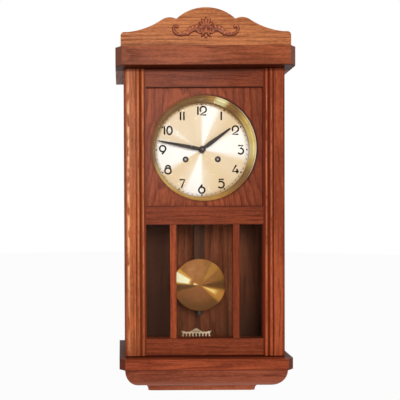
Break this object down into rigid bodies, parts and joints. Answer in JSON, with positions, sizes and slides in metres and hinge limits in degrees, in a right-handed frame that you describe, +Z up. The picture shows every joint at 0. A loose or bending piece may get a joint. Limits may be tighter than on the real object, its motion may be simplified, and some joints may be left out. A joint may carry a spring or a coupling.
{
  "type": "regulator wall clock",
  "caption": "Wall clock in an oak case with a shaped crest, glazed door, silvered dial, brass bob pendulum and spring-driven striking movement.",
  "frame": {"origin": "on the wall plane at the back of the case, straight behind the hand arbor", "axes": "+X to the right as the clock is seen, +Y into the wall, +Z up"},
  "size_m": [0.34, 0.17, 0.7455],
  "materials": {
    "oak": "stained and polished oak",
    "carved_oak": "carved stained oak",
    "rod_wood": "dark polished lath",
    "spun_brass": "spun and lacquered",
    "brass": "satin",
    "silvered_brass": "silvered, circular grain",
    "blackened_steel": "black",
    "steel": "bright",
    "cast_iron": "black japanned",
    "clear_glass": "clear"
  },
  "bodies": {
    "case": {"back_board": "oak", "left_side": "oak", "right_side": "oak", "top_board": "oak", "bottom_board": "oak", "cornice_front": "oak", "cornice_returns": "oak", "crest_board": "oak", "crest_carving": "carved_oak", "base_ledge": "oak", "base_moulding": "oak", "base_foot": "oak", "wall_hanger": "steel", "case_screws": "steel", "case_hinge_leaves": "brass", "beat_scale": "silvered_brass", "movement_brackets": "cast_iron", "front_plate": "brass", "back_plate": "brass", "plate_pillars": "brass", "click_springs": "steel", "dial": "silvered_brass", "suspension_cock": "brass", "gong_block": "cast_iron", "gong_rods": "steel"},
    "door": {"left_stile": "oak", "right_stile": "oak", "top_rail": "oak", "middle_rail": "oak", "bottom_rail": "oak", "dial_panel": "oak", "glazing_bars": "oak", "lower_glass": "clear_glass", "glass_beads": "oak", "bezel": "spun_brass", "dial_glass": "clear_glass", "door_hinge_leaves": "brass", "hinge_pins": "brass", "door_catch": "brass"},
    "pendulum": {"pallet_anchor": "steel", "pendulum_rod": "rod_wood", "pendulum_bob": "spun_brass", "rating_nut": "brass", "suspension_spring": "steel"},
    "minute_hand": {"minute_hand": "blackened_steel", "cannon_pinion": "brass", "hand_nut": "blackened_steel"},
    "hour_hand": {"hour_hand": "blackened_steel", "hour_wheel": "brass"},
    "minute_wheel": {"minute_wheel": "brass"},
    "going_barrel": {"going_barrel": "brass"},
    "going_winder": {"going_winding_arbor": "steel"},
    "centre_arbor": {"centre_arbor": "brass"},
    "third_arbor": {"third_arbor": "brass"},
    "escape_arbor": {"escape_arbor": "brass"},
    "strike_barrel": {"strike_barrel": "brass"},
    "strike_winder": {"strike_winding_arbor": "steel"},
    "pin_wheel": {"pin_wheel_arbor": "brass"},
    "fly": {"fly_arbor": "brass"},
    "hammer": {"hammer": "steel"}
  },
  "joints": [
    {"name": "door_hinge", "type": "hinge", "parent": "case", "child": "door", "pos_m": [0.1567, -0.1237, 0], "axis": [0, 0, 1], "range_deg": [0, 110]},
    {"name": "pendulum_swing", "type": "hinge", "parent": "case", "child": "pendulum", "pos_m": [0, -0.081, 0.056], "axis": [0, 1, 0], "range_deg": [-3.5, 3.5], "deforming": ["suspension_spring"]},
    {"name": "minute_hand_turn", "type": "hinge", "parent": "case", "child": "minute_hand", "pos_m": [0, -0.081, 0], "axis": [0, 1, 0], "continuous": true},
    {"name": "hour_hand_turn", "type": "hinge", "parent": "case", "child": "hour_hand", "pos_m": [0, -0.081, 0], "axis": [0, 1, 0], "continuous": true},
    {"name": "minute_wheel_turn", "type": "hinge", "parent": "case", "child": "minute_wheel", "pos_m": [0, -0.081, -0.0144], "axis": [0, 1, 0], "continuous": true},
    {"name": "third_turn", "type": "hinge", "parent": "case", "child": "third_arbor", "pos_m": [0.00415, -0.081, 0.02105], "axis": [0, 1, 0], "continuous": true},
    {"name": "centre_turn", "type": "hinge", "parent": "case", "child": "centre_arbor", "pos_m": [0, -0.081, 0], "axis": [0, 1, 0], "continuous": true},
    {"name": "going_barrel_turn", "type": "hinge", "parent": "case", "child": "going_barrel", "pos_m": [0.032, -0.081, -0.01897], "axis": [0, 1, 0], "continuous": true},
    {"name": "escape_turn", "type": "hinge", "parent": "case", "child": "escape_arbor", "pos_m": [0, -0.081, 0.0385], "axis": [0, 1, 0], "continuous": true},
    {"name": "going_winding", "type": "hinge", "parent": "case", "child": "going_winder", "pos_m": [0.032, -0.081, -0.01897], "axis": [0, 1, 0], "continuous": true},
    {"name": "pin_wheel_turn", "type": "hinge", "parent": "case", "child": "pin_wheel", "pos_m": [-0.04, -0.081, 0.01736], "axis": [0, 1, 0], "continuous": true},
    {"name": "strike_barrel_turn", "type": "hinge", "parent": "case", "child": "strike_barrel", "pos_m": [-0.032, -0.081, -0.01897], "axis": [0, 1, 0], "continuous": true},
    {"name": "fly_turn", "type": "hinge", "parent": "case", "child": "fly", "pos_m": [-0.02854, -0.081, 0.02882], "axis": [0, 1, 0], "continuous": true},
    {"name": "strike_winding", "type": "hinge", "parent": "case", "child": "strike_winder", "pos_m": [-0.032, -0.081, -0.01897], "axis": [0, 1, 0], "continuous": true},
    {"name": "hammer_lift", "type": "hinge", "parent": "case", "child": "hammer", "pos_m": [-0.06, -0.081, 0.01], "axis": [0, -1, 0], "range_deg": [0, 12]}
  ],
  "couplings": [
    {"joint": "hour_hand_turn", "follows": "minute_hand_turn", "ratio": 0.083333},
    {"joint": "minute_wheel_turn", "follows": "minute_hand_turn", "ratio": -0.33333},
    {"joint": "centre_turn", "follows": "third_turn", "ratio": -0.1},
    {"joint": "going_barrel_turn", "follows": "third_turn", "ratio": 0.012727},
    {"joint": "escape_turn", "follows": "third_turn", "ratio": -10.5},
    {"joint": "strike_barrel_turn", "follows": "pin_wheel_turn", "ratio": -0.12727},
    {"joint": "fly_turn", "follows": "pin_wheel_turn", "ratio": -8}
  ]
}
